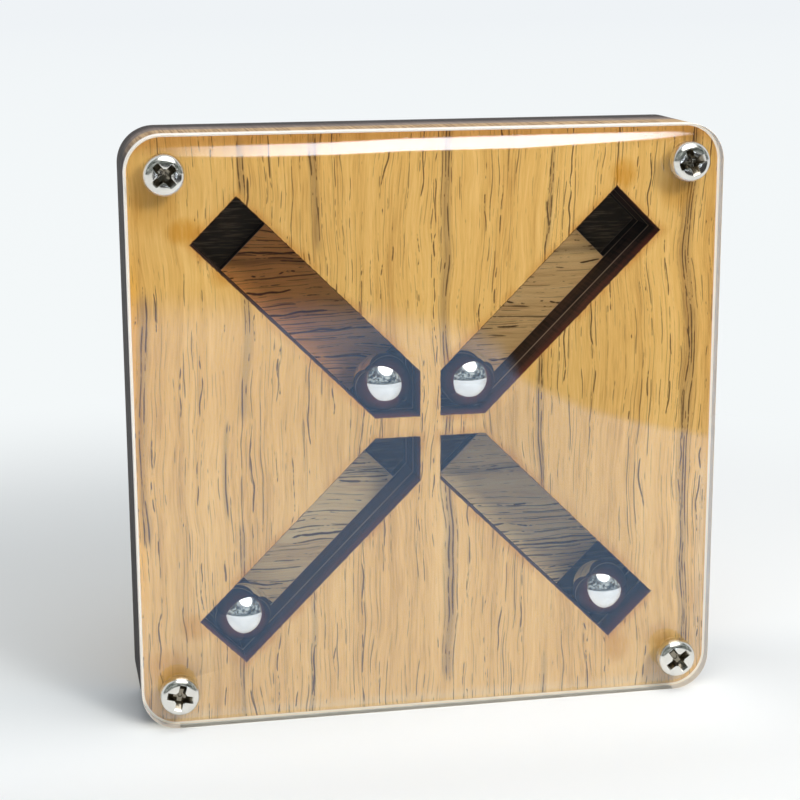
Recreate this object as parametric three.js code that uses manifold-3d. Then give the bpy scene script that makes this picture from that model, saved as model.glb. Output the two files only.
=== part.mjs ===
// Labyrinth puzzle: four steel balls run in four diagonal channels, behind a clear window that is
// screwed to a stack of laser-cut veneered panels.
// Millimetres. X runs to the right and Z up, and the window faces -Y. The puzzle stands on its
// bottom edge at Z = 0, centred in X and in Y, with the screw heads counted in Y.

import * as THREE from 'three';
import { mergeVertices } from 'three/addons/utils/BufferGeometryUtils.js';
import Module from 'manifold-3d';

const wasm = await Module();
wasm.setup();

// Sheets, from front to back
const boardSide = 101.6;
const cornerRadius = 6.35;
const windowThickness = 3;
const facePanelThickness = 6;
const corePanelThickness = 6;
const floorPanelThickness = 3;
const backPanelThickness = 1.5;

// Balls, which lie at the low ends of their channels, against the window
const ballDiameter = 10;
const ballClearance = 0.2;

// Channels on the two diagonals, with a cross of wood left between their inner ends
const webWidth = 3.7;
const channelPlay = 0.96; // how much wider a channel is than its ball
const endToScrew = 11.36; // from the square outer end of a channel to the middle of the screw
const innerPitLength = 8.8; // from the tip of the inner corner
const outerPitLength = 8.8;

// Pan-head cross-recess screws
const screwInset = 6.35;
const screwLength = 15.9; // below the head
const screwShankDiameter = 3;
const screwTipLength = 2.8;
const screwTipDiameter = 0.5;
const headDiameter = 6.9;
const headHeight = 2.4;
const headSideHeight = 0.7;
const headCrownDiameter = 3.6; // of the flat top
const recessSpan = 3.9;
const recessFootSpan = 1.9;
const recessWingWidth = 0.95;
const recessCoreDiameter = 1.9;
const recessDepth = 1.8;
const windowHoleDiameter = 4;
const pilotClearance = 0.15;
const pilotRunOut = 0.6; // of the blind hole past the screw's tip

// How fine round stretches are
const cornerSegments = 10;
const holeSegments = 24;
const turnedSegments = 32;
const ballBands = 16;
const headCurvePoints = 5;
const cutOverrun = 1;

const half = boardSide / 2;
const halfWeb = webWidth / 2;
const ballRadius = ballDiameter / 2;
const halfChannel = ballRadius + channelPlay / 2;
const channelReach = (half - screwInset) * Math.SQRT2 - endToScrew; // from the middle of the board
const pilotDiameter = screwShankDiameter + 2 * pilotClearance;

// The board is worked out lying flat, window up: x and y in its face and z through its thickness
const backPanelTop = backPanelThickness;
const floorPanelTop = backPanelTop + floorPanelThickness;
const corePanelTop = floorPanelTop + corePanelThickness;
const facePanelTop = corePanelTop + facePanelThickness;
const windowTop = facePanelTop + windowThickness;
const fullThickness = windowTop + headHeight;

const colours = { veneer: 0xc99b5f, floorVeneer: 0xa9865c, back: 0x9a7448, steel: 0xd9dcde };

const corners = {
  upper_left: { x: -1, y: 1, screwTurn: 40 },
  upper_right: { x: 1, y: 1, screwTurn: 20 },
  lower_left: { x: -1, y: -1, screwTurn: -14 },
  lower_right: { x: 1, y: -1, screwTurn: 36 },
};

function solidOf(geometry) {
  const bare = geometry.index ? geometry.clone() : geometry;
  bare.deleteAttribute('normal');
  bare.deleteAttribute('uv');
  const merged = mergeVertices(bare);
  return new wasm.Manifold(new wasm.Mesh({
    numProp: 3,
    vertProperties: new Float32Array(merged.attributes.position.array),
    triVerts: new Uint32Array(merged.index.array),
  }));
}

function geometryOf(solid) {
  const mesh = solid.getMesh();
  const geometry = new THREE.BufferGeometry();
  geometry.setAttribute('position', new THREE.BufferAttribute(mesh.vertProperties, mesh.numProp));
  geometry.setIndex(new THREE.BufferAttribute(mesh.triVerts, 1));
  geometry.computeVertexNormals();
  return geometry;
}

function namedMesh(name, geometry, look) {
  const mesh = new THREE.Mesh(geometry, new THREE.MeshStandardMaterial(look));
  mesh.name = name;
  return mesh;
}

// Square outline with rounded corners
function boardOutline() {
  const shape = new THREE.Shape();
  const arcAt = half - cornerRadius;
  shape.absarc(arcAt, arcAt, cornerRadius, 0, Math.PI / 2);
  shape.absarc(-arcAt, arcAt, cornerRadius, Math.PI / 2, Math.PI);
  shape.absarc(-arcAt, -arcAt, cornerRadius, Math.PI, 1.5 * Math.PI);
  shape.absarc(arcAt, -arcAt, cornerRadius, 1.5 * Math.PI, 2 * Math.PI);
  return shape;
}

function sheet(outline, bottom, thickness) {
  const options = { depth: thickness, bevelEnabled: false, curveSegments: cornerSegments };
  return new THREE.ExtrudeGeometry(outline, options).translate(0, 0, bottom);
}

// A point of a channel, from its distance along the diagonal and to the left of it
function onDiagonal(corner, along, aside) {
  const direction = new THREE.Vector2(corner.x, corner.y).normalize();
  const left = new THREE.Vector2(-direction.y, direction.x);
  return direction.multiplyScalar(along).addScaledVector(left, aside);
}

// The inner end is a square corner whose sides lie along the web, so it is a point on the diagonal
const innerTip = halfWeb * Math.SQRT2;

function channelOutline(corner) {
  return new THREE.Shape([
    onDiagonal(corner, innerTip, 0),
    onDiagonal(corner, innerTip + halfChannel, -halfChannel),
    onDiagonal(corner, channelReach, -halfChannel),
    onDiagonal(corner, channelReach, halfChannel),
    onDiagonal(corner, innerTip + halfChannel, halfChannel),
  ]);
}

// The inner pit runs from the tip to a line square to the channel
function innerPitOutline(corner) {
  const shoulder = Math.min(halfChannel, innerPitLength);
  return new THREE.Shape([
    onDiagonal(corner, innerTip, 0),
    onDiagonal(corner, innerTip + shoulder, -shoulder),
    onDiagonal(corner, innerTip + innerPitLength, -shoulder),
    onDiagonal(corner, innerTip + innerPitLength, shoulder),
    onDiagonal(corner, innerTip + shoulder, shoulder),
  ]);
}

function outerPitOutline(corner) {
  const start = channelReach - outerPitLength;
  return new THREE.Shape([
    onDiagonal(corner, start, -halfChannel),
    onDiagonal(corner, channelReach, -halfChannel),
    onDiagonal(corner, channelReach, halfChannel),
    onDiagonal(corner, start, halfChannel),
  ]);
}

function throughCutter(outline, bottom, top) {
  return solidOf(sheet(outline, bottom - cutOverrun, top - bottom + 2 * cutOverrun));
}

function screwPlace(corner) {
  const reach = half - screwInset;
  return new THREE.Vector2(corner.x * reach, corner.y * reach);
}

// A round hole at the screw of a corner, from bottom to top
function holeCutter(corner, diameter, bottom, top) {
  const depth = top - bottom;
  const place = screwPlace(corner);
  const hole = new THREE.CylinderGeometry(diameter / 2, diameter / 2, depth, holeSegments);
  return solidOf(hole.rotateX(Math.PI / 2).translate(place.x, place.y, bottom + depth / 2));
}

function cutSheet(bottom, top, cutters) {
  let solid = solidOf(sheet(boardOutline(), bottom, top - bottom));
  for (const cutter of cutters) {
    solid = solid.subtract(cutter);
  }
  return geometryOf(solid);
}

const everyCorner = Object.values(corners);

function windowGeometry() {
  const holes = everyCorner.map((corner) => holeCutter(
    corner, windowHoleDiameter, facePanelTop - cutOverrun, windowTop + cutOverrun));
  return cutSheet(facePanelTop, windowTop, holes);
}

// The face and core panels are cut alike: four channels and four pilot holes
function channelPanelGeometry(bottom, top) {
  const cutters = everyCorner.flatMap((corner) => [
    throughCutter(channelOutline(corner), bottom, top),
    holeCutter(corner, pilotDiameter, bottom - cutOverrun, top + cutOverrun),
  ]);
  return cutSheet(bottom, top, cutters);
}

// The floor panel closes the channels but for a pit at each end, and takes the tips of the screws
function floorPanelGeometry() {
  const pilotBottom = Math.max(windowTop - screwLength - pilotRunOut, backPanelTop);
  const cutters = everyCorner.flatMap((corner) => [
    throughCutter(innerPitOutline(corner), backPanelTop, floorPanelTop),
    throughCutter(outerPitOutline(corner), backPanelTop, floorPanelTop),
    holeCutter(corner, pilotDiameter, pilotBottom, floorPanelTop + cutOverrun),
  ]);
  return cutSheet(backPanelTop, floorPanelTop, cutters);
}

// The screw as it is turned, with the seat of its head at zero and its axis along y
function screwProfile() {
  const shank = screwShankDiameter / 2;
  const edge = headDiameter / 2;
  const crown = headCrownDiameter / 2;
  const side = new THREE.Vector2(edge, headSideHeight);
  const round = new THREE.QuadraticBezierCurve(
    side, new THREE.Vector2(edge, headHeight), new THREE.Vector2(crown, headHeight));
  return [
    new THREE.Vector2(0, -screwLength),
    new THREE.Vector2(screwTipDiameter / 2, -screwLength),
    new THREE.Vector2(shank, screwTipLength - screwLength),
    new THREE.Vector2(shank, 0),
    new THREE.Vector2(edge, 0),
    ...round.getPoints(headCurvePoints),
    new THREE.Vector2(0, headHeight),
  ];
}

// One wing of the cross recess: a plate that narrows downwards, as a driver's tip does
function recessWing() {
  const top = headHeight + cutOverrun;
  const foot = headHeight - recessDepth;
  const flare = (recessSpan - recessFootSpan) / recessDepth;
  const topSpan = recessSpan + flare * cutOverrun;
  const side = new THREE.Shape([
    new THREE.Vector2(-recessFootSpan / 2, foot),
    new THREE.Vector2(recessFootSpan / 2, foot),
    new THREE.Vector2(topSpan / 2, top),
    new THREE.Vector2(-topSpan / 2, top),
  ]);
  const plate = new THREE.ExtrudeGeometry(side, { depth: recessWingWidth, bevelEnabled: false });
  return plate.translate(0, 0, -recessWingWidth / 2);
}

function screwGeometry(turn) {
  const core = new THREE.ConeGeometry(recessCoreDiameter / 2, recessDepth, holeSegments);
  core.rotateX(Math.PI).translate(0, headHeight - recessDepth / 2, 0);
  const recess = solidOf(recessWing()).add(solidOf(recessWing().rotateY(Math.PI / 2))).add(solidOf(core));
  const turned = solidOf(new THREE.LatheGeometry(screwProfile(), turnedSegments));
  const screw = geometryOf(turned.subtract(recess));
  return screw.rotateX(Math.PI / 2).rotateZ(THREE.MathUtils.degToRad(turn));
}

// A ball lies against the lower side wall and the low end of its channel. The upper pair rests on
// the web and the lower pair on the square outer end.
function ballPlace(corner) {
  const aside = halfChannel - ballRadius - ballClearance;
  const onWeb = (halfWeb + ballRadius + ballClearance) * Math.SQRT2 + aside;
  const onOuterEnd = channelReach - ballRadius - ballClearance;
  return onDiagonal(corner, corner.y > 0 ? onWeb : onOuterEnd, -corner.x * aside);
}

const board = new THREE.Group();
board.rotation.x = Math.PI / 2;
board.position.set(0, fullThickness / 2, half);

const veneerLook = { color: colours.veneer, roughness: 0.6, metalness: 0 };
const clearLook = { color: 0xeaf0f0, roughness: 0.05, metalness: 0, transparent: true, opacity: 0.25 };
const steelLook = { color: colours.steel, roughness: 0.12, metalness: 1 };

board.add(namedMesh('front_window', windowGeometry(), clearLook));
board.add(namedMesh('face_panel', channelPanelGeometry(corePanelTop, facePanelTop), veneerLook));
board.add(namedMesh('core_panel', channelPanelGeometry(floorPanelTop, corePanelTop), veneerLook));
board.add(namedMesh('floor_panel', floorPanelGeometry(),
  { color: colours.floorVeneer, roughness: 0.65, metalness: 0 }));
board.add(namedMesh('back_panel', cutSheet(0, backPanelTop, []),
  { color: colours.back, roughness: 0.7, metalness: 0 }));

for (const [name, corner] of Object.entries(corners)) {
  const screw = namedMesh(`screw_${name}`, screwGeometry(corner.screwTurn), steelLook);
  const place = screwPlace(corner);
  screw.position.set(place.x, place.y, windowTop);
  board.add(screw);

  const ball = namedMesh(`ball_${name}`,
    new THREE.SphereGeometry(ballRadius, turnedSegments, ballBands), steelLook);
  const rest = ballPlace(corner);
  ball.position.set(rest.x, rest.y, facePanelTop - ballRadius - ballClearance);
  board.add(ball);
}

const puzzle = new THREE.Group();
puzzle.add(board);

export default puzzle;
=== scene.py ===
import math

import bmesh
import bpy
from mathutils import Matrix, Vector


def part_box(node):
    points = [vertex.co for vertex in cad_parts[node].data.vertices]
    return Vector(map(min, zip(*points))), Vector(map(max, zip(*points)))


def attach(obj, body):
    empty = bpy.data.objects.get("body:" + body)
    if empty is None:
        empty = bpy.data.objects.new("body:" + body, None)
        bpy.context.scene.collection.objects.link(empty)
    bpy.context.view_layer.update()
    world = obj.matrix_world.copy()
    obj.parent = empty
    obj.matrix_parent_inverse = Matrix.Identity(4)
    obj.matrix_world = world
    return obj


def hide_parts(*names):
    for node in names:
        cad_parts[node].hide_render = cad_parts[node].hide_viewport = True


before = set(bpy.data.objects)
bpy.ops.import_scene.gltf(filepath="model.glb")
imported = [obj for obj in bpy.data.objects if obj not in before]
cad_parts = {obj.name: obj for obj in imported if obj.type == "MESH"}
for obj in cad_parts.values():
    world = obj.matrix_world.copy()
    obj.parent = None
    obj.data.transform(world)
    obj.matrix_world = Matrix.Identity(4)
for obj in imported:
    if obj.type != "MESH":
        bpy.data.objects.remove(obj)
print("frame loaded,", len(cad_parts), "nodes")
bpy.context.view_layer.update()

mm = 0.001
mergeGap = 0.001 * mm
corners = ("upper_left", "upper_right", "lower_left", "lower_right")
cornerCentre = 44.45  # millimetres from the board's middle, each way, to a rounded corner's centre and screw
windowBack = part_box("front_window")[1].y
faceLow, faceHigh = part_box("face_panel")
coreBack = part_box("core_panel")[1].y
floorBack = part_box("floor_panel")[1].y
boardMiddle = (faceLow.z + faceHigh.z) / 2


# Small helpers for shader trees

def newTree(name):
    material = bpy.data.materials.new(name)
    material.use_nodes = True
    material.node_tree.nodes.clear()
    return material, material.node_tree


def addNode(tree, kind, inputs=None, **settings):
    node = tree.nodes.new(kind)
    for key, value in settings.items():
        setattr(node, key, value)
    for key, value in (inputs or {}).items():
        if isinstance(value, bpy.types.NodeSocket):
            tree.links.new(value, node.inputs[key])
        else:
            node.inputs[key].default_value = value
    return node


def calc(tree, operation, *values, clamp=False):
    node = addNode(tree, "ShaderNodeMath", dict(enumerate(values)), operation=operation, use_clamp=clamp)
    return node.outputs[0]


def product(tree, first, *others):
    for other in others:
        first = calc(tree, "MULTIPLY", first, other)
    return first


def blendColour(tree, factor, a, b, how="MIX"):
    a = a if isinstance(a, bpy.types.NodeSocket) else (*a, 1.0)
    b = b if isinstance(b, bpy.types.NodeSocket) else (*b, 1.0)
    node = addNode(tree, "ShaderNodeMix", data_type="RGBA", blend_type=how)
    for index, value in ((0, factor), (6, a), (7, b)):
        if isinstance(value, bpy.types.NodeSocket):
            tree.links.new(value, node.inputs[index])
        else:
            node.inputs[index].default_value = value
    return node.outputs[2]


# The colour times the tint, where the mask is 1
def washed(tree, mask, colour, tint):
    return blendColour(tree, mask, colour, blendColour(tree, 1.0, colour, tint, "MULTIPLY"))


# 0 below low, 1 above high
def step(tree, value, low, high, smooth=True):
    kind = "SMOOTHSTEP" if smooth else "LINEAR"
    inputs = {0: value, 1: low, 2: high, 3: 0.0, 4: 1.0}
    return addNode(tree, "ShaderNodeMapRange", inputs, interpolation_type=kind).outputs[0]


# 1 below low, 0 above high
def below(tree, value, low, high):
    return calc(tree, "SUBTRACT", 1.0, step(tree, value, low, high))


def millimetres(tree):
    place = addNode(tree, "ShaderNodeTexCoord").outputs["Object"]
    return addNode(tree, "ShaderNodeMapping", {"Vector": place, "Scale": (1 / mm, 1 / mm, 1 / mm)}).outputs[0]


# Millimetres, with the height counted from the board's middle
def splitPlace(tree):
    x, y, z = addNode(tree, "ShaderNodeSeparateXYZ", {0: millimetres(tree)}).outputs
    return x, y, calc(tree, "SUBTRACT", z, boardMiddle / mm)


def stretchedNoise(tree, vector, scale, seed, detail=2.0, rough=0.5):
    moving = {"Vector": vector, "Location": seed, "Scale": scale}
    moved = addNode(tree, "ShaderNodeMapping", moving).outputs[0]
    inputs = {"Vector": moved, "Scale": 1.0, "Detail": detail, "Roughness": rough}
    return addNode(tree, "ShaderNodeTexNoise", inputs).outputs[0]


def finish(tree, shader):
    addNode(tree, "ShaderNodeOutputMaterial", {"Surface": shader})


# Wood

channel = {  # millimetres, as cut
    "halfWeb": 1.85,
    "halfWidth": 5.48,
    "reach": 51.5,
    "charEdge": (0.02, 0.20),
    "scorchEdge": (0.05, 1.8),
    "wobble": 0.35,
}

grainPen = {  # the thin dark lines of every veneer
    "laneShift": 7.31,
    "wander": (1, 1, 0.16),
    "pressure": (1, 1, 0.11),
    "pressureRange": 0.14,
    "thin": 0.6, "swell": 0.7,
    "edge": (0.5, 1.3),
    "ends": (0.0, 0.30),
}

figure = {  # waves per millimetre across the grain, through it and along it
    "sway": (0.050, 0, 0.026), "swayReach": 5.0,
    "ripple": (0.20, 0, 0.08), "rippleReach": 1.5,
    "broad": (0.10, 0, 0.012), "broadShare": 0.7,
    "bands": (0.55, 0, 0.020), "bandsShare": 0.9,
    "fibre": (3.4, 0, 0.16), "fibreShare": 0.80,
    "darkToMiddle": (0.92, 1.24), "middleToLight": (1.17, 1.52),
    "crowd": (0.16, 0, 0.020), "crowdReach": 0.45,
    "strands": (0.62, 0.110, 0.45, 0.0), "strandsTurn": 60, "strandsShare": 0.88, "strandsFrom": (0.10, 0.60),
    "veinFade": 4, "veinShare": 0.42,
}

veneer = {
    "seed": 11.3, "roughness": 0.42,
    "light": (0.95, 0.605, 0.205),
    "middle": (0.86, 0.515, 0.150),
    "dark": (0.70, 0.385, 0.100),
    "pore": (0.105, 0.052, 0.022),
    "vein": (0.120, 0.068, 0.042),
    "char": (0.030, 0.013, 0.007), "charShare": 0.85,
    "scorch": (0.58, 0.205, 0.012), "scorchLeast": 0.05, "scorchMore": 0.42, "scorchPatches": (0.40, 0.62),
    "stain": (0.66, 0.28, 0.008), "stainShare": 0.75, "stainRange": (0.0, 1.3), "smudge": 0.45,
    # tints, and the ranges in millimetres from the board's middle over which they fade
    # painted reflection of the pale floor: the lower part paler and bluer
    "paler": (1.05, 1.10, 1.32), "palerHeights": (-22.0, 12.0),
    # painted haze: paler and bluer at the foot and at the lower right edge
    "paintedHaze": (1.04, 1.15, 1.55), "footHeights": (-49.6, -47.6),
    "rightEdge": (47.8, 49.2), "rightEdgeHeights": (-12.0, -4.0),
    # painted shadow of the window's top edge: browner just under the top
    "paintedShadow": (0.88, 0.74, 0.62), "topHeights": (46.8, 49.4),
    "golden": (1.0, 0.90, 0.60), "leftEdge": (-49.6, -48.4),
    "leftEdgeTop": (24.0, 34.0), "leftEdgeFoot": (-34.0, -22.0),
    # lane width, half width of a line, least pen pressure, strength, turn of the pattern
    "lines": ((0.75, 0.060, 0.48, 0.38, 0), (1.6, 0.080, 0.51, 0.70, 20), (3.7, 0.115, 0.51, 0.90, 40)),
    # x, lowest z, highest z, half width, strength, in millimetres from the board's middle
    "veins": (
        (-31.5, 39, 52, 0.45, 0.9), (-19.9, 29, 52, 0.55, 1.0), (-32.2, 1, 27, 0.7, 0.75),
        (-49.0, -20, 26, 0.8, 0.85), (3.0, -48, 54, 0.75, 1.0), (20.5, 28, 49, 0.4, 0.8),
        (19.7, -14, 13, 0.5, 0.8), (46.1, -46, 52, 1.0, 0.8), (-35.0, -16, 4, 0.4, 0.7),
        (-32.8, -53, -14, 0.5, 0.8), (-21.0, -53, -28, 0.4, 0.8), (21.3, -53, -41, 0.5, 0.7),
    ),
    # x, z, reach across, reach up, strength
    "stains": (
        (-41.2, 34.8, 3.6, 2.6, 0.95), (-35.4, 27.0, 2.2, 2.0, 0.6), (33.7, 42.4, 2.6, 3.0, 0.9),
        (-41.4, -33.4, 2.8, 2.6, 0.6), (34.2, -42.4, 2.6, 3.4, 0.65), (-46.0, 39.0, 4.5, 5.0, 0.45),
        (43.2, 39.0, 3.4, 3.6, 0.5), (-46.0, -40.4, 4.2, 3.6, 0.6), (42.4, -41.2, 2.8, 3.0, 0.5),
    ),
}

floorVeneer = {
    "seed": 47.9, "roughness": 0.5,
    "light": (0.98, 0.76, 0.42),
    "middle": (0.90, 0.66, 0.33),
    "dark": (0.72, 0.48, 0.22),
    "pore": (0.085, 0.045, 0.022),
    "vein": (0.055, 0.034, 0.022),
    # painted shade: the upper floors darker and browner
    "darker": (0.86, 0.74, 0.62), "darkerHeights": (-12.0, 10.0),
    # painted shade: redder on the upper left, as from light bouncing in the shade
    "redder": (1.12, 0.74, 0.48), "redderAcross": (-24.0, 0.0),
    # painted light: paler on the lower right
    "paler": (1.12, 1.10, 1.05), "palerAcross": (0.0, 10.0),
    "lines": ((0.75, 0.070, 0.46, 0.50, 3), (1.7, 0.110, 0.47, 0.80, 23), (3.9, 0.160, 0.47, 0.95, 43)),
    "veins": ((27.2, -54, 54, 0.55, 1.0), (-11.5, -54, 54, 0.5, 0.9)),
}

backVeneer = dict(veneer, seed=83.1, roughness=0.5, veins=())


# Distance from the nearest channel's wall, in millimetres: positive on the wood, negative in the cut
def channelDistance(tree, x, z):
    across = calc(tree, "ABSOLUTE", x)
    upward = calc(tree, "ABSOLUTE", z)
    along = calc(tree, "MULTIPLY", calc(tree, "ADD", across, upward), math.sqrt(0.5))
    apart = calc(tree, "ABSOLUTE", calc(tree, "SUBTRACT", across, upward))
    aside = calc(tree, "MULTIPLY", apart, math.sqrt(0.5))
    side = calc(tree, "SUBTRACT", aside, channel["halfWidth"])
    end = calc(tree, "SUBTRACT", along, channel["reach"])
    web = calc(tree, "SUBTRACT", channel["halfWeb"], calc(tree, "MINIMUM", across, upward))
    return calc(tree, "MAXIMUM", calc(tree, "MAXIMUM", side, end), web)


# Thin dark lines that follow the grain, each in a lane of its own, broken into dashes
def grainLines(tree, across, along, seed, spacing, halfWidth, lowest, crowd):
    lanes = calc(tree, "DIVIDE", across, spacing)
    lane = calc(tree, "FLOOR", lanes)
    inside = calc(tree, "FRACT", lanes)
    draw = addNode(tree, "ShaderNodeTexWhiteNoise", {"W": calc(tree, "ADD", lane, seed)}, noise_dimensions="1D")
    chance = draw.outputs[0]
    laneSeed = calc(tree, "MULTIPLY", lane, grainPen["laneShift"])
    flat = addNode(tree, "ShaderNodeCombineXYZ", {0: laneSeed, 1: seed, 2: along}).outputs[0]
    wander = stretchedNoise(tree, flat, grainPen["wander"], (0, 0, 0), 1.0)
    centre = calc(tree, "ADD", calc(tree, "MULTIPLY", chance, 0.5), calc(tree, "MULTIPLY", wander, 0.5))
    gap = product(tree, calc(tree, "ABSOLUTE", calc(tree, "SUBTRACT", inside, centre)), spacing)
    pen = calc(tree, "ADD", stretchedNoise(tree, flat, grainPen["pressure"], (3, 3, 3), 4.0, 0.7), crowd)
    dash = step(tree, pen, lowest, lowest + grainPen["pressureRange"])
    swell = calc(tree, "ADD", calc(tree, "MULTIPLY", dash, grainPen["swell"]), grainPen["thin"])
    line = below(tree, calc(tree, "DIVIDE", gap, product(tree, swell, halfWidth)), *grainPen["edge"])
    return product(tree, line, step(tree, dash, *grainPen["ends"]))


# Colour and relief of a veneer: across and along the grain, in millimetres
def grain(tree, look, across, along):
    seed = look["seed"]
    flat = addNode(tree, "ShaderNodeCombineXYZ", {0: across, 2: along}).outputs[0]
    sway = stretchedNoise(tree, flat, figure["sway"], (seed, 0, 3), 1.0)
    ripple = stretchedNoise(tree, flat, figure["ripple"], (seed, 5, 9), 1.0)
    sway = product(tree, sway, figure["swayReach"])
    bend = calc(tree, "ADD", sway, product(tree, ripple, figure["rippleReach"]))
    usualBend = (figure["swayReach"] + figure["rippleReach"]) / 2
    bent = calc(tree, "ADD", across, calc(tree, "SUBTRACT", bend, usualBend))
    lines = addNode(tree, "ShaderNodeCombineXYZ", {0: bent, 2: along}).outputs[0]

    broad = stretchedNoise(tree, lines, figure["broad"], (seed, 1, 1), 2.0)
    bands = stretchedNoise(tree, lines, figure["bands"], (seed, 2, 2), 3.0, 0.6)
    fibre = stretchedNoise(tree, lines, figure["fibre"], (seed, 3, 3), 2.0, 0.6)
    bands = product(tree, bands, figure["bandsShare"])
    tone = calc(tree, "ADD", bands, product(tree, broad, figure["broadShare"]))
    tone = calc(tree, "ADD", tone, product(tree, fibre, figure["fibreShare"]))
    colour = blendColour(tree, step(tree, tone, *figure["darkToMiddle"]), look["dark"], look["middle"])
    colour = blendColour(tree, step(tree, tone, *figure["middleToLight"]), colour, look["light"])

    crowd = stretchedNoise(tree, lines, figure["crowd"], (seed, 4, 4), 1.0)
    crowd = product(tree, calc(tree, "SUBTRACT", crowd, 0.5), figure["crowdReach"])
    streaks = 0.0
    for spacing, halfWidth, lowest, strength, turn in look["lines"]:
        drawn = grainLines(tree, bent, along, seed + turn, spacing, halfWidth, lowest, crowd)
        streaks = calc(tree, "MAXIMUM", streaks, product(tree, drawn, strength))
    colour = blendColour(tree, streaks, colour, look["pore"])

    total = 0.0
    for place, low, high, halfWidth, strength in look["veins"]:
        gap = calc(tree, "ABSOLUTE", calc(tree, "SUBTRACT", bent, place))
        foot = step(tree, along, low, low + figure["veinFade"])
        top = below(tree, along, high - figure["veinFade"], high)
        halo = below(tree, gap, 0.0, halfWidth * 2.0)
        total = calc(tree, "MAXIMUM", total, product(tree, halo, product(tree, foot, top), strength))
    strands = grainLines(tree, bent, along, seed + figure["strandsTurn"], *figure["strands"])
    veins = product(tree, step(tree, total, *figure["strandsFrom"]), strands)
    colour = blendColour(tree, product(tree, total, figure["veinShare"]), colour, look["vein"])
    colour = blendColour(tree, product(tree, veins, figure["strandsShare"]), colour, look["pore"])
    return colour, calc(tree, "MAXIMUM", streaks, veins)


def woodShader(tree, colour, bump, roughness):
    shader = addNode(tree, "ShaderNodeBsdfPrincipled", {
        "Base Color": colour, "Roughness": roughness, "Normal": bump.outputs[0], "Specular IOR Level": 0.08})
    return shader.outputs[0]


def polishedWood(tree, colour, relief, roughness):
    sunken = {"Height": relief, "Strength": 0.35, "Distance": 0.05 * mm}
    return woodShader(tree, colour, addNode(tree, "ShaderNodeBump", sunken, invert=True), roughness)


# Where the veneer is stained, from 0 to 1
def stains(tree, x, z):
    stained = 0.0
    for placeX, placeZ, reachX, reachZ, strength in veneer["stains"]:
        across = calc(tree, "DIVIDE", calc(tree, "SUBTRACT", x, placeX), reachX)
        upward = calc(tree, "DIVIDE", calc(tree, "SUBTRACT", z, placeZ), reachZ)
        away = calc(tree, "ADD", product(tree, across, across), product(tree, upward, upward))
        spot = product(tree, below(tree, away, *veneer["stainRange"]), strength)
        stained = calc(tree, "MAXIMUM", stained, spot)
    smudge = stretchedNoise(tree, millimetres(tree), (1.1, 1, 0.35), (12, 12, 12), 2.0, 0.6)
    return calc(tree, "MULTIPLY", stained, calc(tree, "ADD", veneer["smudge"], smudge), clamp=True)


def faceVeneerMaterial():
    look = veneer
    material, tree = newTree("faceVeneer")
    x, y, z = splitPlace(tree)
    colour, relief = grain(tree, look, x, z)
    # Painted reflection of the pale floor: the lower part paler and bluer
    colour = washed(tree, below(tree, z, *look["palerHeights"]), colour, look["paler"])
    # Painted haze: paler and bluer at the foot and at the lower right edge
    foot = below(tree, z, *look["footHeights"])
    rightEdge = product(tree, step(tree, x, *look["rightEdge"]), below(tree, z, *look["rightEdgeHeights"]))
    colour = washed(tree, calc(tree, "MAXIMUM", foot, rightEdge), colour, look["paintedHaze"])
    # Painted shadow: browner just under the top edge
    colour = washed(tree, step(tree, z, *look["topHeights"]), colour, look["paintedShadow"])
    leftEdge = product(tree, below(tree, x, *look["leftEdge"]), below(tree, z, *look["leftEdgeTop"]),
                       step(tree, z, *look["leftEdgeFoot"]))
    colour = washed(tree, leftEdge, colour, look["golden"])
    stained = blendColour(tree, look["stainShare"], colour, look["stain"])
    colour = blendColour(tree, stains(tree, x, z), colour, stained)

    wobble = stretchedNoise(tree, millimetres(tree), (1.3, 1.3, 1.3), (4, 4, 4), 2.0)
    wobble = product(tree, calc(tree, "SUBTRACT", wobble, 0.5), channel["wobble"])
    edge = calc(tree, "ADD", channelDistance(tree, x, z), wobble)
    patches = stretchedNoise(tree, millimetres(tree), (0.14, 1, 0.14), (21, 21, 21), 2.0)
    patchy = product(tree, step(tree, patches, *look["scorchPatches"]), look["scorchMore"])
    scorched = product(tree, below(tree, edge, *channel["scorchEdge"]),
                       calc(tree, "ADD", look["scorchLeast"], patchy))
    colour = blendColour(tree, scorched, colour, look["scorch"])
    charred = product(tree, below(tree, edge, *channel["charEdge"]), look["charShare"])
    colour = blendColour(tree, charred, colour, look["char"])
    finish(tree, polishedWood(tree, colour, relief, look["roughness"]))
    return material


def floorVeneerMaterial():
    look = floorVeneer
    material, tree = newTree("floorVeneer")
    x, y, z = splitPlace(tree)
    colour, relief = grain(tree, look, z, x)
    # Painted shade: the upper floors darker and browner
    upper = step(tree, z, *look["darkerHeights"])
    colour = washed(tree, upper, colour, look["darker"])
    # Painted shade: redder on the upper left
    upperLeft = product(tree, upper, below(tree, x, *look["redderAcross"]))
    colour = washed(tree, upperLeft, colour, look["redder"])
    # Painted light: paler on the lower right
    lowerRight = product(tree, calc(tree, "SUBTRACT", 1.0, upper), step(tree, x, *look["palerAcross"]))
    colour = washed(tree, lowerRight, colour, look["paler"])
    finish(tree, polishedWood(tree, colour, relief, look["roughness"]))
    return material


def backVeneerMaterial():
    material, tree = newTree("backVeneer")
    x, y, z = splitPlace(tree)
    colour, relief = grain(tree, backVeneer, x, z)
    finish(tree, polishedWood(tree, colour, relief, backVeneer["roughness"]))
    return material


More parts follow.
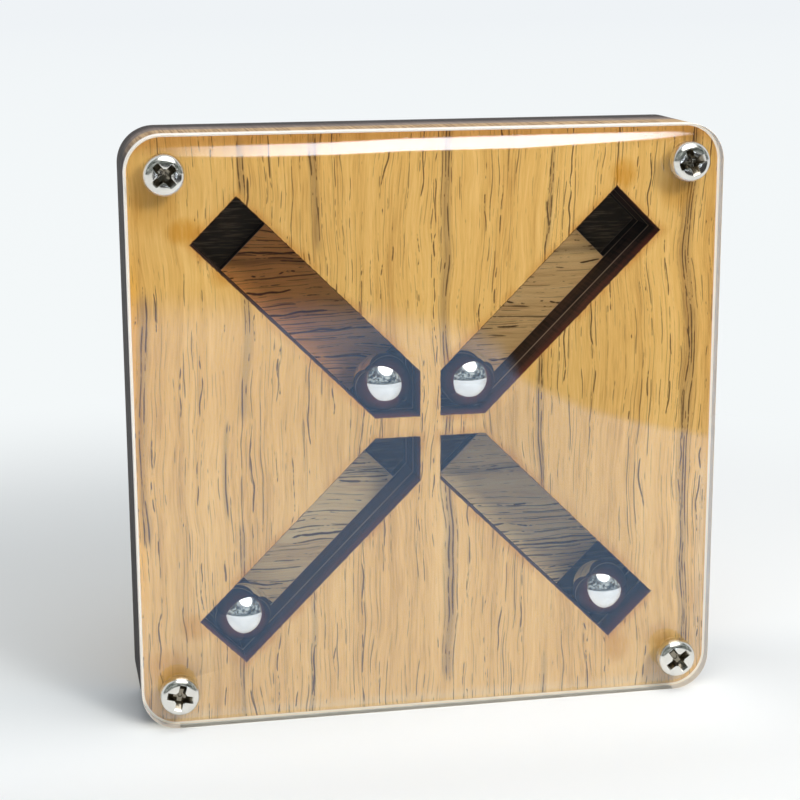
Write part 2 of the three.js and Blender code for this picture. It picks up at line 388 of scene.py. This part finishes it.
charredEdge = {  # depths in millimetres
    "deep": (0.014, 0.008, 0.006), "brown": (0.075, 0.036, 0.026), "brownRange": (0.36, 0.66),
    "red": (0.150, 0.036, 0.022), "redRange": (0.30, 0.62), "redDepth": 4.5,
    "outside": (0.020, 0.020, 0.023), "outsideShare": 0.8, "outsideReach": (2.5, 2.0),
    "upwardRange": (0.3, 0.9),
    # painted light on the outer faces that look up: taupe, and tan near the front
    "taupeDark": (0.16, 0.12, 0.10), "taupe": (0.30, 0.24, 0.20),
    "taupeRange": (0.3, 0.7), "taupeDepths": (2.0, 7.0),
    "tanDark": (0.22, 0.13, 0.06), "tan": (0.52, 0.35, 0.19),
    "tanRange": (0.3, 0.62), "tanDepths": (-0.5, 1.5),
    "joint": (0.50, 0.37, 0.27), "jointEdge": (0.22 * 0.3, 0.22 * 1.7), "jointShare": 0.85,
    "jointWear": (0.08, 0.36), "jointOutside": 0.7,
}


# Laser-cut edges: charred brown, redder near the front, near-black on the outer sides, with painted light on
# the outer faces that look up, and pale glue lines
def charredEdgeMaterial():
    look = charredEdge
    material, tree = newTree("charredEdge")
    x, y, z = splitPlace(tree)
    place = millimetres(tree)
    strokes = stretchedNoise(tree, place, (2.6, 0.05, 2.6), (1, 1, 1), 2.0, 0.6)
    plies = stretchedNoise(tree, place, (0.02, 2.4, 0.02), (2, 2, 2), 2.0, 0.6)
    patches = stretchedNoise(tree, place, (0.12, 0.3, 0.12), (3, 3, 3), 2.0)
    tone = calc(tree, "ADD", calc(tree, "MULTIPLY", strokes, 0.5), calc(tree, "MULTIPLY", plies, 0.5))
    tone = calc(tree, "ADD", tone, calc(tree, "MULTIPLY", calc(tree, "SUBTRACT", patches, 0.5), 0.5))
    colour = blendColour(tree, step(tree, tone, *look["brownRange"]), look["deep"], look["brown"])
    front = below(tree, y, faceLow.y / mm, faceLow.y / mm + look["redDepth"])
    red = blendColour(tree, step(tree, tone, *look["redRange"]), look["brown"], look["red"])
    colour = blendColour(tree, front, colour, red)

    sideways = calc(tree, "MAXIMUM", calc(tree, "ABSOLUTE", x), calc(tree, "ABSOLUTE", z))
    outer = step(tree, sideways, *(faceHigh.x / mm - reach for reach in look["outsideReach"]))
    normal = addNode(tree, "ShaderNodeNewGeometry").outputs["Normal"]
    upward = addNode(tree, "ShaderNodeSeparateXYZ", {0: normal}).outputs[2]
    # Painted light: the outer faces that look up are painted taupe, and tan near the front
    paintedTopLight = product(tree, outer, step(tree, upward, *look["upwardRange"]))
    colour = blendColour(tree, product(tree, outer, look["outsideShare"]), colour, look["outside"])
    taupe = blendColour(tree, step(tree, tone, *look["taupeRange"]), look["taupeDark"], look["taupe"])
    colour = blendColour(tree, product(tree, paintedTopLight, below(tree, y, *look["taupeDepths"])), colour, taupe)
    tan = blendColour(tree, step(tree, strokes, *look["tanRange"]), look["tanDark"], look["tan"])
    colour = blendColour(tree, product(tree, paintedTopLight, below(tree, y, *look["tanDepths"])), colour, tan)

    for joint in (faceHigh.y, coreBack, floorBack):
        gap = calc(tree, "ABSOLUTE", calc(tree, "SUBTRACT", y, joint / mm))
        worn = product(tree, below(tree, gap, *look["jointEdge"]), step(tree, patches, *look["jointWear"]))
        hidden = calc(tree, "SUBTRACT", 1.0, product(tree, outer, look["jointOutside"]))
        colour = blendColour(tree, product(tree, worn, hidden, look["jointShare"]), colour, look["joint"])
    bump = addNode(tree, "ShaderNodeBump", {"Height": strokes, "Strength": 0.3, "Distance": 0.05 * mm})
    finish(tree, woodShader(tree, colour, bump, 0.6))
    return material


pitChar = {"dark": (0.078, 0.054, 0.032), "light": (0.215, 0.152, 0.092), "range": (0.45, 0.72)}


def pitCharMaterial():
    material, tree = newTree("pitBlack")
    strokes = stretchedNoise(tree, millimetres(tree), (0.25, 1, 3.2), (5, 5, 5), 2.0, 0.6)
    colour = blendColour(tree, step(tree, strokes, *pitChar["range"]), pitChar["dark"], pitChar["light"])
    finish(tree, polishedWood(tree, colour, strokes, 0.6))
    return material


# Clear acrylic and metal

window = {
    "edge": 0.70 * mm, "edgeSegments": 3, "airGap": 0.05 * mm,
    "cornerRadius": 6.35, "rimWidth": 0.48, "rimSoft": 0.06, "rimDepth": 0.5,  # millimetres
}


# Millimetres from the nearest corner's centre or, with sides, from the nearest line between two centres
def cornerDistance(tree, x, z, sides=False):
    across, upward = (calc(tree, "SUBTRACT", calc(tree, "ABSOLUTE", value), cornerCentre) for value in (x, z))
    if sides:
        across, upward = (calc(tree, "MAXIMUM", value, 0.0) for value in (across, upward))
    return calc(tree, "SQRT", calc(tree, "ADD", product(tree, across, across), product(tree, upward, upward)))


# Lets the lamps through, so that the sheet casts next to no shadow
def finishSheet(tree, shader, shadow):
    clear = addNode(tree, "ShaderNodeBsdfTransparent", {"Color": (*shadow, 1)}).outputs[0]
    isShadow = addNode(tree, "ShaderNodeLightPath").outputs["Is Shadow Ray"]
    finish(tree, addNode(tree, "ShaderNodeMixShader", {0: isShadow, 1: shader, 2: clear}).outputs[0])


# The sheet, with a painted glow: a cream line round the edge of its back face, for the light that its cut edge
# throws
def clearAcrylicMaterial():
    material, tree = newTree("clearAcrylic")
    sheet = addNode(tree, "ShaderNodeBsdfPrincipled", {
        "Base Color": (0.985, 0.992, 0.99, 1), "Roughness": 0.0, "IOR": 1.49, "Transmission Weight": 1.0,
        "Specular IOR Level": 0.75}).outputs[0]
    x, y, z = splitPlace(tree)
    inner = window["cornerRadius"] - window["rimWidth"]
    rim = step(tree, cornerDistance(tree, x, z, True), inner - window["rimSoft"], inner + window["rimSoft"])
    rim = product(tree, rim, calc(tree, "GREATER_THAN", y, windowBack / mm - window["rimDepth"]))
    # Painted glow: a cream emissive line round the edge of the back face
    bright = addNode(tree, "ShaderNodeBsdfPrincipled", {
        "Base Color": (1.0, 0.87, 0.69, 1), "Roughness": 0.3,
        "Emission Color": (1.0, 0.86, 0.64, 1), "Emission Strength": 0.14}).outputs[0]
    rimmed = addNode(tree, "ShaderNodeMixShader", {0: rim, 1: sheet, 2: bright}).outputs[0]
    finishSheet(tree, rimmed, (0.93, 0.935, 0.93))
    return material


# Cut edge of the sheet, painted an opaque cream that stands in for the light it gathers
def acrylicEdgeMaterial():
    material, tree = newTree("acrylicEdge")
    cloud = stretchedNoise(tree, millimetres(tree), (0.5, 0.5, 0.5), (9, 9, 9), 2.0)
    tint = blendColour(tree, step(tree, cloud, 0.3, 0.7), (0.98, 0.89, 0.77), (0.93, 0.84, 0.72))
    edge = addNode(tree, "ShaderNodeBsdfPrincipled", {"Base Color": tint, "Roughness": 0.25, "IOR": 1.49})
    finishSheet(tree, edge.outputs[0], (0.80, 0.79, 0.76))
    return material


brightNickel = {
    "colour": (0.80, 0.785, 0.74), "roughness": (0.10, 0.20), "scratches": (2.0, 9.0, 2.0),
    # painted shade: dark amber in the cross recess
    "recess": (0.13, 0.10, 0.05), "recessShare": 0.80,
    "recessDepths": (-10.80, -10.35), "recessReach": (2.3, 2.5),  # millimetres
}
mirrorSteel = {"colour": (0.93, 0.935, 0.93), "roughness": (0.02, 0.05), "scratches": (3.0, 3.0, 3.0)}


def metalMaterial(name, look):
    material, tree = newTree(name)
    place = millimetres(tree)
    cloud = stretchedNoise(tree, place, (0.8, 0.8, 0.8), (6, 6, 6), 2.0)
    scratches = stretchedNoise(tree, place, look["scratches"], (7, 7, 7), 3.0, 0.7)
    duller = tuple(c * 0.94 for c in look["colour"])
    tint = blendColour(tree, step(tree, cloud, 0.3, 0.7), look["colour"], duller)
    least, most = look["roughness"]
    rough = addNode(tree, "ShaderNodeMapRange", {0: scratches, 1: 0.3, 2: 0.7, 3: least, 4: most}).outputs[0]
    if "recess" in look:
        # Painted shade: darker amber in the cross recess
        x, y, z = splitPlace(tree)
        inside = below(tree, cornerDistance(tree, x, z), *look["recessReach"])
        sunk = product(tree, step(tree, y, *look["recessDepths"]), inside, look["recessShare"])
        tint = blendColour(tree, sunk, tint, look["recess"])
    bump = addNode(tree, "ShaderNodeBump", {"Height": scratches, "Strength": 0.04, "Distance": 0.01 * mm})
    shader = addNode(tree, "ShaderNodeBsdfPrincipled", {
        "Base Color": tint, "Metallic": 1.0, "Roughness": rough, "Normal": bump.outputs[0]})
    finish(tree, shader.outputs[0])
    return material


# Pieces

def newPiece(name, mesh, materials, body, slot, *replaced):
    data = bpy.data.meshes.new(name)
    mesh.to_mesh(data)
    mesh.free()
    for material in materials:
        data.materials.append(material)
    piece = bpy.data.objects.new(name, data)
    bpy.context.scene.collection.objects.link(piece)
    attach(piece, body)
    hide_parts(*replaced)
    return piece


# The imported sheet, merged, with its edges eased
def softenedCopy(node, chamfer, segments):
    mesh = bmesh.new()
    mesh.from_mesh(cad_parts[node].data)
    bmesh.ops.remove_doubles(mesh, verts=mesh.verts, dist=mergeGap)
    bmesh.ops.dissolve_limit(mesh, angle_limit=math.radians(2), verts=mesh.verts, edges=mesh.edges)
    crisp = [edge for edge in mesh.edges
             if len(edge.link_faces) == 2 and edge.calc_face_angle() > math.radians(40)]
    bmesh.ops.bevel(mesh, geom=crisp, offset=chamfer, offset_type="OFFSET", segments=segments, profile=0.5,
                    affect="EDGES", clamp_overlap=True, material=-1)
    for face in mesh.faces:
        face.smooth = True
    return mesh


mesh = softenedCopy("front_window", window["edge"], window["edgeSegments"])
backFace = [vert for vert in mesh.verts if vert.co.y > windowBack - mergeGap]
bmesh.ops.translate(mesh, verts=backFace, vec=(0, -window["airGap"], 0))
for face in mesh.faces:
    face.material_index = 1 if abs(face.normal.y) < 0.985 else 0
clearWindow = newPiece("clearWindow", mesh, (clearAcrylicMaterial(), acrylicEdgeMaterial()), "case",
                       "clear_acrylic", "front_window")
flatten = clearWindow.modifiers.new("flatFaces", "WEIGHTED_NORMAL")
flatten.weight = 100
print("clear window done")

woodSheet = {"edge": 0.06 * mm, "sharpAngle": 35, "flat": 0.9}

faceVeneerLook = faceVeneerMaterial()
floorVeneerLook = floorVeneerMaterial()
backVeneerLook = backVeneerMaterial()
edgeLook = charredEdgeMaterial()
for name, node, front, slot in (
        ("facePanel", "face_panel", faceVeneerLook, "face_veneer"),
        ("corePanel", "core_panel", backVeneerLook, "core_wood"),
        ("floorPanel", "floor_panel", floorVeneerLook, "floor_veneer"),
        ("backPanel", "back_panel", pitCharMaterial(), "back_wood")):
    mesh = softenedCopy(node, woodSheet["edge"], 1)
    for face in mesh.faces:
        facing = face.normal.y
        face.material_index = 0 if facing < -woodSheet["flat"] else 1 if facing > woodSheet["flat"] else 2
    piece = newPiece(name, mesh, (front, backVeneerLook, edgeLook), "case", slot, node)
    piece.data.set_sharp_from_angle(angle=math.radians(woodSheet["sharpAngle"]))
print("wood panels done")

ball = {"segments": 96, "bands": 48}


def ballMesh(low, high):
    centre = (low + high) / 2
    radius = (high.x - low.x) / 2
    mesh = bmesh.new()
    arc = [mesh.verts.new((radius * math.sin(turn), 0, radius * math.cos(turn)))
           for turn in (math.pi * band / ball["bands"] for band in range(ball["bands"] + 1))]
    edges = [mesh.edges.new(pair) for pair in zip(arc, arc[1:])]
    bmesh.ops.spin(mesh, geom=arc + edges, cent=(0, 0, 0), axis=(0, 0, 1), angle=2 * math.pi,
                   steps=ball["segments"], use_merge=True)
    bmesh.ops.remove_doubles(mesh, verts=mesh.verts, dist=mergeGap)
    bmesh.ops.recalc_face_normals(mesh, faces=mesh.faces)
    bmesh.ops.translate(mesh, verts=mesh.verts, vec=centre)
    for face in mesh.faces:
        face.smooth = True
    return mesh


steel = metalMaterial("mirrorSteel", mirrorSteel)
for corner in corners:
    mesh = ballMesh(*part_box("ball_" + corner))
    newPiece("steelBall_" + corner, mesh, (steel,), corner + "_ball", "ball_steel", "ball_" + corner)
print("balls done")

screw = {  # millimetres, from the seat of the head; angles in degrees
    "headRadius": 3.45, "sideHeight": 0.7, "headHeight": 2.4, "crownRadius": 1.8,
    "seatRound": 0.15, "seatShare": 0.3, "rimPoints": 10, "segments": 72,
    "shankRadius": 1.5, "length": 15.9, "tipLength": 2.8, "tipRadius": 0.25,
    "recessSpan": 4.7, "recessFootSpan": 2.2, "recessDepth": 1.8, "overcut": 0.4,
    "wingWidth": 1.15, "wingTop": 1.15, "wingFoot": 0.75,
    "coreRadius": 1.05 * 1.25, "coreFootRadius": 0.3, "coreOvercut": 0.6, "coreLift": 0.1, "coreSegments": 32,
    "rimBevel": 0.08, "rimSegments": 2, "rimAngle": 38, "sharpAngle": 40,
    "turns": {"upper_left": 40, "upper_right": 20, "lower_left": -14, "lower_right": 36},
}


# Head up along +Z, seat at zero
def turnedScrew():
    mesh = bmesh.new()
    s = screw
    outline = [(0, -s["length"]), (s["tipRadius"], -s["length"]),
               (s["shankRadius"], s["tipLength"] - s["length"]), (s["shankRadius"], 0),
               (s["headRadius"] - s["seatRound"], 0),
               (s["headRadius"] - s["seatRound"] * s["seatShare"], s["seatRound"] * s["seatShare"]),
               (s["headRadius"], s["seatRound"]), (s["headRadius"], s["sideHeight"])]
    for point in range(1, s["rimPoints"] + 1):
        t = point / s["rimPoints"]
        radius = (1 - t * t) * s["headRadius"] + t * t * s["crownRadius"]
        height = (1 - t) ** 2 * s["sideHeight"] + (1 - (1 - t) ** 2) * s["headHeight"]
        outline.append((radius, height))
    outline.append((0, s["headHeight"]))
    chain = [mesh.verts.new((radius * mm, 0, height * mm)) for radius, height in outline]
    edges = [mesh.edges.new(pair) for pair in zip(chain, chain[1:])]
    bmesh.ops.spin(mesh, geom=chain + edges, cent=(0, 0, 0), axis=(0, 0, 1), angle=2 * math.pi,
                   steps=s["segments"], use_merge=True)
    bmesh.ops.remove_doubles(mesh, verts=mesh.verts, dist=mergeGap)
    bmesh.ops.recalc_face_normals(mesh, faces=mesh.faces)
    return mesh


# One wing of the cross recess, narrowing downwards
def recessTool(turned):
    s = screw
    mesh = bmesh.new()
    bmesh.ops.create_cube(mesh, size=1.0)
    flare = (s["recessSpan"] - s["recessFootSpan"]) / s["recessDepth"]
    for vert in mesh.verts:
        top = vert.co.z > 0
        span = s["recessSpan"] + flare * s["overcut"] if top else s["recessFootSpan"]
        width = s["wingWidth"] * (s["wingTop"] if top else s["wingFoot"])
        height = s["headHeight"] + (s["overcut"] if top else -s["recessDepth"])
        vert.co = Vector((math.copysign(span / 2, vert.co.x), math.copysign(width / 2, vert.co.y), height)) * mm
    bmesh.ops.rotate(mesh, verts=mesh.verts, cent=(0, 0, 0), matrix=Matrix.Rotation(turned, 3, "Z"))
    return mesh


def recessCore():
    s = screw
    mesh = bmesh.new()
    bmesh.ops.create_cone(mesh, cap_ends=True, segments=s["coreSegments"], radius1=s["coreFootRadius"] * mm,
                          radius2=s["coreRadius"] * mm, depth=(s["recessDepth"] + s["coreOvercut"]) * mm)
    height = s["headHeight"] - s["recessDepth"] / 2 + s["coreLift"]
    bmesh.ops.translate(mesh, verts=mesh.verts, vec=(0, 0, height * mm))
    return mesh


def plainObject(name, mesh):
    data = bpy.data.meshes.new(name)
    mesh.to_mesh(data)
    mesh.free()
    plain = bpy.data.objects.new(name, data)
    bpy.context.scene.collection.objects.link(plain)
    return plain


def cutScrewMesh():
    blank = plainObject("screwBlank", turnedScrew())
    tools = [plainObject("recessTool", tool) for tool in (recessTool(0), recessTool(math.pi / 2), recessCore())]
    for tool in tools:
        cut = blank.modifiers.new("recess", "BOOLEAN")
        cut.operation = "DIFFERENCE"
        cut.solver = "EXACT"
        cut.object = tool
    rim = blank.modifiers.new("rim", "BEVEL")
    rim.limit_method = "ANGLE"
    rim.angle_limit = math.radians(screw["rimAngle"])
    rim.width = screw["rimBevel"] * mm
    rim.segments = screw["rimSegments"]
    rim.use_clamp_overlap = True
    bpy.context.view_layer.update()
    cutData = bpy.data.meshes.new_from_object(blank.evaluated_get(bpy.context.evaluated_depsgraph_get()))
    for spare in tools + [blank]:
        bpy.data.objects.remove(spare)
    return cutData


nickel = metalMaterial("brightNickel", brightNickel)
screwData = cutScrewMesh()
for corner in corners:
    low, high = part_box("screw_" + corner)
    seatY = low.y + screw["headHeight"] * mm
    mesh = bmesh.new()
    mesh.from_mesh(screwData)
    place = Matrix.Translation(((low.x + high.x) / 2, seatY, (low.z + high.z) / 2))
    turn = Matrix.Rotation(math.radians(screw["turns"][corner]), 4, "Z")
    bmesh.ops.transform(mesh, matrix=place @ Matrix.Rotation(math.pi / 2, 4, "X") @ turn, verts=mesh.verts)
    for face in mesh.faces:
        face.smooth = True
    piece = newPiece("panHeadScrew_" + corner, mesh, (nickel,), "case", "screw_nickel", "screw_" + corner)
    piece.data.set_sharp_from_angle(angle=math.radians(screw["sharpAngle"]))
bpy.data.meshes.remove(screwData)
print("screws done")


# Stage, camera and light

stage = {
    "left": -6, "right": 8, "front": -3, "behind": 7.5,  # metres, and the ranges below in millimetres
    "near": (0.905, 0.922, 0.922), "middle": (0.905, 0.939, 0.947), "far": (0.863, 0.896, 0.922),
    "toMiddle": (-100, 260), "toFar": (300, 3500),
    "fadeMiddle": (-30, 0, 0), "fade": (90, 250),
    "matt": (0.825, 0.84, 0.84),
    # painted light: a lighter matt close to and behind the puzzle, a shade less behind on the left
    "mattFront": (0.93, 0.945, 0.945), "frontDepth": (-42, -14), "frontAcross": (45, 70),
    "asideDepth": (0, 25), "asideAcross": (20, 60),
    "mattBehind": (0.84, 0.868, 0.872), "behindDepth": (-40, 15), "behindAcross": (-30, 40),
}


# Matt round the puzzle, where its shadow falls, and a plain glow farther off
def floorMaterial():
    material, tree = newTree("paleFloor")
    place = millimetres(tree)
    across, depth = addNode(tree, "ShaderNodeSeparateXYZ", {0: place}).outputs[:2]
    tone = blendColour(tree, step(tree, depth, *stage["toMiddle"]), stage["near"], stage["middle"])
    tone = blendColour(tree, step(tree, depth, *stage["toFar"], smooth=False), tone, stage["far"])
    glow = addNode(tree, "ShaderNodeEmission", {"Color": tone, "Strength": 1.0}).outputs[0]
    # Painted light: the matt is lighter close to and behind the puzzle, except on the near right, and a shade
    # less behind on the left
    front = product(tree, step(tree, depth, *stage["frontDepth"]), below(tree, across, *stage["frontAcross"]))
    aside = product(tree, step(tree, depth, *stage["asideDepth"]), step(tree, across, *stage["asideAcross"]))
    diffuse = blendColour(tree, calc(tree, "MAXIMUM", front, aside), stage["matt"], stage["mattFront"])
    behind = step(tree, depth, *stage["behindDepth"])
    behind = product(tree, behind, below(tree, across, *stage["behindAcross"]))
    diffuse = blendColour(tree, behind, diffuse, stage["mattBehind"])
    matt = addNode(tree, "ShaderNodeBsdfDiffuse", {"Color": diffuse}).outputs[0]
    away = addNode(tree, "ShaderNodeVectorMath", {0: place, 1: stage["fadeMiddle"]}, operation="DISTANCE")
    fade = step(tree, away.outputs["Value"], *stage["fade"])
    finish(tree, addNode(tree, "ShaderNodeMixShader", {0: fade, 1: matt, 2: glow}).outputs[0])
    return material


mesh = bmesh.new()
outline = ((stage["left"], stage["front"]), (stage["right"], stage["front"]),
           (stage["right"], stage["behind"]), (stage["left"], stage["behind"]))
mesh.faces.new([mesh.verts.new((x, y, 0)) for x, y in outline])
bmesh.ops.recalc_face_normals(mesh, faces=mesh.faces)
floor = plainObject("floor", mesh)
floor.data.materials.append(floorMaterial())

# Cards that only reflections meet, in millimetres: a pale one, a dark one with a soft edge over it, a long lamp
hazeCard = {
    "colour": (0.45, 1.15, 2.35), "height": 0.2,
    "across": ((-170, 0.0), (-75, 1.0), (160, 1.0), (320, 0.0)),  # x, shade
    "depth": ((-8.7, 1.0), (-420, 1.0), (-600, 0.0)),  # y, shade
}
darkCard = {
    "colour": (0.04, 0.04, 0.04), "height": 0.6, "reach": 7,
    "edge": (  # near side of the soft edge x, y; far side x, y
        (-54, -367, -51, -477), (-27, -357, -20, -465), (0, -355, 11, -454), (27, -349, 40, -437),
        (54, -339, 69, -417), (66, -329, 80, -397), (75, -322, 90, -380), (81, -314, 96, -358),
        (84, -301, 96, -326), (82, -281, 92, -295), (81, -256, 88, -272), (83, -242, 89, -258),
        (86, -230, 92, -245), (90, -213, 95, -228), (96, -202, 100, -214), (102, -192, 105, -203),
        (107, -184, 111, -195), (120, -170, 124, -181), (200, -90, 204, -100),
    ),
}
stripCard = {
    "colour": (0.90, 1.0, 1.15), "strength": 10.0, "depth": -700, "soft": 0.5,
    "outline": (  # x, lowest z, highest z, shade
        (-4, 28.6, 33.0, 0.0), (25, 27.8, 33.1, 0.30), (55, 27.0, 33.2, 0.55), (97, 27.0, 33.5, 0.8),
        (137, 28.2, 34.6, 1.0), (200, 28.3, 34.9, 1.0), (251, 30.3, 35.1, 1.0), (274, 31.4, 35.1, 0.75),
        (286, 32.3, 35.1, 0.55), (296, 33.4, 34.2, 0.3),
    ),
}
insideDepth = 2.5  # a ray that has passed more surfaces than this is inside the case


# Glow that fades with the card's own shade, for rays that have passed at least so many surfaces
def cardMaterial(name, colour, strength=1.0, leastDepth=0):
    material, tree = newTree(name)
    shade = addNode(tree, "ShaderNodeAttribute", attribute_name="shade").outputs["Fac"]
    depth = addNode(tree, "ShaderNodeLightPath").outputs["Transmission Depth"]
    outside = product(tree, calc(tree, "LESS_THAN", depth, insideDepth),
                      calc(tree, "GREATER_THAN", depth, leastDepth - 0.5))
    glow = addNode(tree, "ShaderNodeEmission", {"Color": (*colour, 1), "Strength": strength}).outputs[0]
    clear = addNode(tree, "ShaderNodeBsdfTransparent").outputs[0]
    factor = product(tree, step(tree, shade, 0.0, 1.0), outside)
    finish(tree, addNode(tree, "ShaderNodeMixShader", {0: factor, 1: clear, 2: glow}).outputs[0])
    return material


# From rows of (place in millimetres, shade)
def reflectionCard(name, rows, material):
    mesh = bmesh.new()
    layer = mesh.verts.layers.float.new("shade")
    grid = []
    for row in rows:
        grid.append([mesh.verts.new([value * mm for value in point]) for point, shade in row])
        for vert, (point, shade) in zip(grid[-1], row):
            vert[layer] = shade
    for first, second in zip(grid, grid[1:]):
        for a, b, c, d in zip(first, first[1:], second[1:], second):
            mesh.faces.new((a, b, c, d))
    card = plainObject(name, mesh)
    card.data.materials.append(material)
    card.visible_camera = False
    card.visible_shadow = False
    card.visible_diffuse = False


reflectionCard("hazeFloor", [
    [((x, y, hazeCard["height"]), min(shadeX, shadeY)) for x, shadeX in hazeCard["across"]]
    for y, shadeY in hazeCard["depth"]
], cardMaterial("hazeFloor", hazeCard["colour"], leastDepth=1))
reflectionCard("darkFloor", [
    [((nearX, nearY, darkCard["height"]), 0.0), ((farX, farY, darkCard["height"]), 1.0),
     ((farX * darkCard["reach"], farY * darkCard["reach"], darkCard["height"]), 1.0)]
    for nearX, nearY, farX, farY in darkCard["edge"]
], cardMaterial("darkFloor", darkCard["colour"]))
soft = stripCard["soft"]
reflectionCard("stripLight", [
    [((x, stripCard["depth"], z), shadeHere) for z, shadeHere in (
        (low - soft, 0.0), (low + soft, shade), (high - soft, shade), (high + soft, 0.0))]
    for x, low, high, shade in stripCard["outline"]
], cardMaterial("stripLight", stripCard["colour"], stripCard["strength"]))
print("stage done")

view = {
    "place": (-68.76 * mm, -322.99 * mm, 129.85 * mm),
    "heading": 11.338, "tilt": 12.957, "roll": -0.240,  # degrees
    "lens": 87.38, "sensor": 36.0, "nearest": 0.01, "farthest": 50,
}
cameraData = bpy.data.cameras.new("camera")
cameraData.lens = view["lens"]
cameraData.sensor_width = view["sensor"]
cameraData.clip_start = view["nearest"]
cameraData.clip_end = view["farthest"]
camera = bpy.data.objects.new("camera", cameraData)
bpy.context.scene.collection.objects.link(camera)
camera.matrix_world = (
    Matrix.Translation(view["place"])
    @ Matrix.Rotation(math.radians(-view["heading"]), 4, "Z")
    @ Matrix.Rotation(math.radians(90 - view["tilt"]), 4, "X")
    @ Matrix.Rotation(math.radians(view["roll"]), 4, "Z"))
bpy.context.scene.camera = camera

softbox = {"place": (0.045, -0.160, 0.370), "size": (0.33, 0.40), "power": 0.86, "colour": (1.0, 0.99, 0.97)}
sideLight = {"place": (0.30, -0.55, 0.41), "size": (0.20, 0.20), "power": 2.0, "colour": (1.0, 0.985, 0.96)}


def areaLight(name, lamp, mirrored):
    data = bpy.data.lights.new(name, "AREA")
    data.shape = "ELLIPSE"
    data.size, data.size_y = lamp["size"]
    data.energy = lamp["power"]
    data.color = lamp["colour"]
    light = bpy.data.objects.new(name, data)
    bpy.context.scene.collection.objects.link(light)
    light.location = lamp["place"]
    aim = Vector((0, 0, boardMiddle)) - Vector(lamp["place"])
    light.rotation_euler = aim.to_track_quat("-Z", "Y").to_euler()
    light.visible_camera = False
    light.visible_glossy = mirrored
    light.visible_transmission = mirrored


areaLight("softbox", softbox, True)
areaLight("sideLight", sideLight, False)

room = {
    "ambient": (0.93, 0.96, 1.0), "ambientStrength": 0.52,
    "shadow": (0.018, 0.026, 0.022), "wall": (0.60, 0.65, 0.63), "wallRange": (0.43, 0.60),
    "dusk": (0.020, 0.024, 0.022), "duskRange": (0.02, 0.30), "duskLeast": 0.45,
    "glow": (0.80, 0.83, 0.83), "glowToward": (0.125, -0.443, 0.887),
    "glowRange": (0.78, 0.97), "glowShare": 0.8,
    "backRange": (-0.25, 0.15),
}


# Even light for the object, a mottled room in its reflections, and the pale backdrop for the camera
def roomWorld():
    world = bpy.data.worlds.new("room")
    world.use_nodes = True
    tree = world.node_tree
    tree.nodes.clear()
    path = addNode(tree, "ShaderNodeLightPath").outputs
    direction = addNode(tree, "ShaderNodeTexCoord").outputs["Generated"]
    depth, height = addNode(tree, "ShaderNodeSeparateXYZ", {0: direction}).outputs[1:]
    mottled = stretchedNoise(tree, direction, (5.0, 5.0, 6.5), (2, 3, 5), 3.0, 0.68)
    walls = blendColour(tree, step(tree, mottled, *room["wallRange"]), room["shadow"], room["wall"])
    lit = product(tree, step(tree, height, *room["duskRange"]), 1 - room["duskLeast"])
    walls = blendColour(tree, calc(tree, "ADD", room["duskLeast"], lit), room["dusk"], walls)
    towards = {0: direction, 1: room["glowToward"]}
    towards = addNode(tree, "ShaderNodeVectorMath", towards, operation="DOT_PRODUCT").outputs["Value"]
    glow = product(tree, step(tree, towards, *room["glowRange"]), room["glowShare"])
    walls = blendColour(tree, glow, walls, room["glow"])
    walls = blendColour(tree, step(tree, depth, *room["backRange"]), walls, stage["far"])
    ambient, mirrored, backdrop = (
        addNode(tree, "ShaderNodeBackground", {"Color": colour, "Strength": strength}).outputs[0]
        for colour, strength in (((*room["ambient"], 1), room["ambientStrength"]), (walls, 1.0),
                                 ((*stage["far"], 1), 1.0)))
    isMirror = calc(tree, "MAXIMUM", path["Is Glossy Ray"], path["Is Transmission Ray"])
    mixed = addNode(tree, "ShaderNodeMixShader", {0: isMirror, 1: ambient, 2: mirrored}).outputs[0]
    mixed = addNode(tree, "ShaderNodeMixShader", {0: path["Is Camera Ray"], 1: mixed, 2: backdrop}).outputs[0]
    addNode(tree, "ShaderNodeOutputWorld", {"Surface": mixed})
    bpy.context.scene.world = world


roomWorld()
bpy.context.scene.view_settings.view_transform = "Standard"
print("camera and light done")
